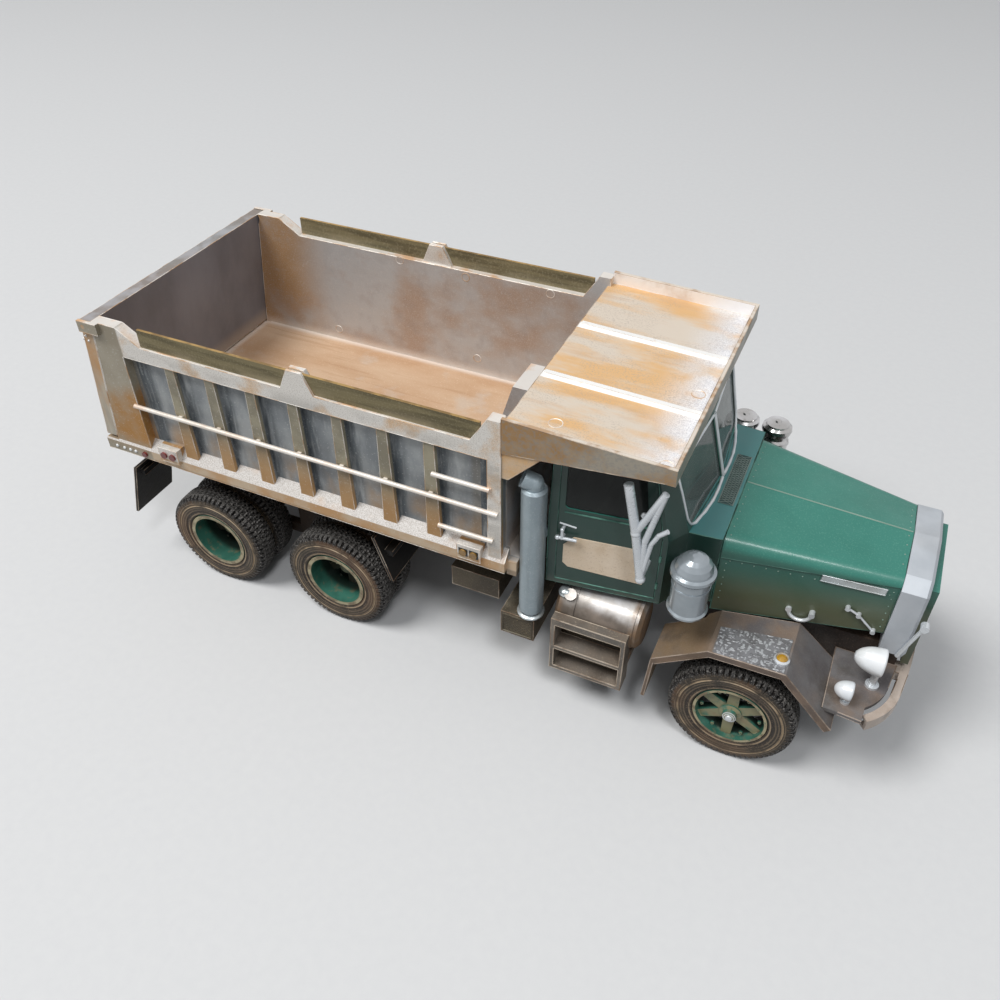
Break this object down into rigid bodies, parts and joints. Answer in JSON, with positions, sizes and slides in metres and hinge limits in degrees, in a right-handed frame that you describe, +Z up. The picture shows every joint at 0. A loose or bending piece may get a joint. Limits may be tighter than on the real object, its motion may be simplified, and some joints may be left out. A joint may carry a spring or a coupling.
{
  "type": "scale model dump truck",
  "caption": "Plastic scale model of a conventional three-axle dump truck with tilting bed, swinging tailgate, steering and rolling wheels.",
  "frame": {"origin": "on the ground, below the middle of the overall box", "axes": "+X forward, +Y to the left, +Z up"},
  "size_m": [0.29, 0.1026, 0.1168],
  "materials": {
    "aged_aluminium": "satin, rusted and dusty",
    "amber_lamp": "glossy",
    "bed_rust": "matt, rusted",
    "board_wood": "matt, grained",
    "chrome_plate": "bright",
    "clear_glass": "clear",
    "flap_rubber": "matt",
    "green_paint": "satin",
    "red_lamp": "glossy",
    "seat_brown": "matt",
    "silver_paint": "satin",
    "tyre_rubber": "matt, dusty",
    "weathered_steel": "matt, dusty"
  },
  "bodies": {
    "chassis": {"air_cleaner_right": "silver_paint", "air_cleaners_left": "chrome_plate", "bumper": "weathered_steel", "cab_floor": "weathered_steel", "cab_glass": "clear_glass", "cab_shell": "green_paint", "dashboard": "seat_brown", "doors": "green_paint", "drive_shafts": "weathered_steel", "engine": "weathered_steel", "equalizer_beams": "weathered_steel", "exhaust_stack": "silver_paint", "fenders": "weathered_steel", "frame": "weathered_steel", "front_axle": "weathered_steel", "fuel_tanks": "weathered_steel", "handles": "silver_paint", "headlamps": "silver_paint", "hood": "green_paint", "lamp_lenses": "clear_glass", "leaf_springs": "weathered_steel", "mirror_arms": "silver_paint", "mud_flaps": "flap_rubber", "radiator_core": "flap_rubber", "radiator_grille": "green_paint", "radiator_shell": "silver_paint", "rear_axles": "weathered_steel", "seat": "seat_brown", "side_boxes": "weathered_steel", "steering_wheel": "green_paint", "steps": "weathered_steel"},
    "bed": {"bed_floor": "bed_rust", "bed_sills": "aged_aluminium", "bed_sides": "aged_aluminium", "side_bars": "silver_paint", "bed_front": "aged_aluminium", "canopy": "aged_aluminium", "side_boards": "board_wood", "bed_lamps_red": "red_lamp", "bed_lamps_amber": "amber_lamp"},
    "tailgate": {"tailgate": "aged_aluminium"},
    "hoist_barrel": {"hoist_barrel": "weathered_steel"},
    "hoist_stage_1": {"hoist_stage_1": "silver_paint"},
    "hoist_stage_2": {"hoist_stage_2": "silver_paint"},
    "hoist_plunger": {"hoist_plunger": "silver_paint"},
    "knuckle_left": {"knuckle_left": "weathered_steel"},
    "knuckle_right": {"knuckle_right": "weathered_steel"},
    "tie_rod": {"tie_rod": "weathered_steel"},
    "front_wheel_left": {"front_wheel_left": "green_paint", "front_tyre_left": "tyre_rubber"},
    "mid_wheels_left": {"mid_left_wheel": "green_paint", "mid_left_tyres": "tyre_rubber"},
    "rear_wheels_left": {"rear_left_wheel": "green_paint", "rear_left_tyres": "tyre_rubber"},
    "front_wheel_right": {"front_wheel_right": "green_paint", "front_tyre_right": "tyre_rubber"},
    "mid_wheels_right": {"mid_right_wheel": "green_paint", "mid_right_tyres": "tyre_rubber"},
    "rear_wheels_right": {"rear_right_wheel": "green_paint", "rear_right_tyres": "tyre_rubber"}
  },
  "joints": [
    {"name": "bed_tilt", "type": "hinge", "parent": "chassis", "child": "bed", "pos_m": [-0.132, 0, 0.051], "axis": [0, -1, 0], "range_deg": [0, 45]},
    {"name": "tailgate_swing", "type": "hinge", "parent": "bed", "child": "tailgate", "pos_m": [-0.13578, 0, 0.1102], "axis": [0, 1, 0], "range_deg": [0, 60]},
    {"name": "hoist_swing", "type": "hinge", "parent": "chassis", "child": "hoist_barrel", "pos_m": [0.0085, 0, 0.041], "axis": [0, -1, 0], "range_deg": [0, 26.83]},
    {"name": "hoist_stage_1_slide", "type": "slide", "parent": "hoist_barrel", "child": "hoist_stage_1", "axis": [0, 0, 1], "range_m": [0, 0.03471]},
    {"name": "hoist_stage_2_slide", "type": "slide", "parent": "hoist_stage_1", "child": "hoist_stage_2", "axis": [0, 0, 1], "range_m": [0, 0.03471]},
    {"name": "hoist_plunger_slide", "type": "slide", "parent": "hoist_stage_2", "child": "hoist_plunger", "axis": [0, 0, 1], "range_m": [0, 0.03471]},
    {"name": "steer_left", "type": "hinge", "parent": "chassis", "child": "knuckle_left", "pos_m": [0.0957, 0.0305, 0.0208], "axis": [0, 0, 1], "range_deg": [-30, 30]},
    {"name": "steer_right", "type": "hinge", "parent": "chassis", "child": "knuckle_right", "pos_m": [0.0957, -0.0305, 0.0208], "axis": [0, 0, 1], "range_deg": [-30, 30]},
    {"name": "tie_rod_pivot", "type": "hinge", "parent": "knuckle_left", "child": "tie_rod", "pos_m": [0.0867, 0.0305, 0.0145], "axis": [0, 0, 1], "range_deg": [-30, 30]},
    {"name": "front_roll_left", "type": "hinge", "parent": "knuckle_left", "child": "front_wheel_left", "pos_m": [0.0957, 0.041, 0.0208], "axis": [0, 1, 0], "continuous": true},
    {"name": "mid_roll_left", "type": "hinge", "parent": "chassis", "child": "mid_wheels_left", "pos_m": [-0.0521, 0.0354, 0.0208], "axis": [0, 1, 0], "continuous": true},
    {"name": "rear_roll_left", "type": "hinge", "parent": "chassis", "child": "rear_wheels_left", "pos_m": [-0.1056, 0.0354, 0.0208], "axis": [0, 1, 0], "continuous": true},
    {"name": "front_roll_right", "type": "hinge", "parent": "knuckle_right", "child": "front_wheel_right", "pos_m": [0.0957, -0.041, 0.0208], "axis": [0, 1, 0], "continuous": true},
    {"name": "mid_roll_right", "type": "hinge", "parent": "chassis", "child": "mid_wheels_right", "pos_m": [-0.0521, -0.0354, 0.0208], "axis": [0, 1, 0], "continuous": true},
    {"name": "rear_roll_right", "type": "hinge", "parent": "chassis", "child": "rear_wheels_right", "pos_m": [-0.1056, -0.0354, 0.0208], "axis": [0, 1, 0], "continuous": true}
  ],
  "couplings": [
    {"joint": "hoist_swing", "follows": "bed_tilt", "ratio": 0.5962},
    {"joint": "steer_right", "follows": "steer_left", "ratio": 1},
    {"joint": "tie_rod_pivot", "follows": "steer_left", "ratio": -1},
    {"joint": "hoist_stage_1_slide", "follows": "bed_tilt", "m_per_rad": 0.044195},
    {"joint": "hoist_stage_2_slide", "follows": "bed_tilt", "m_per_rad": 0.044195},
    {"joint": "hoist_plunger_slide", "follows": "bed_tilt", "m_per_rad": 0.044195}
  ]
}
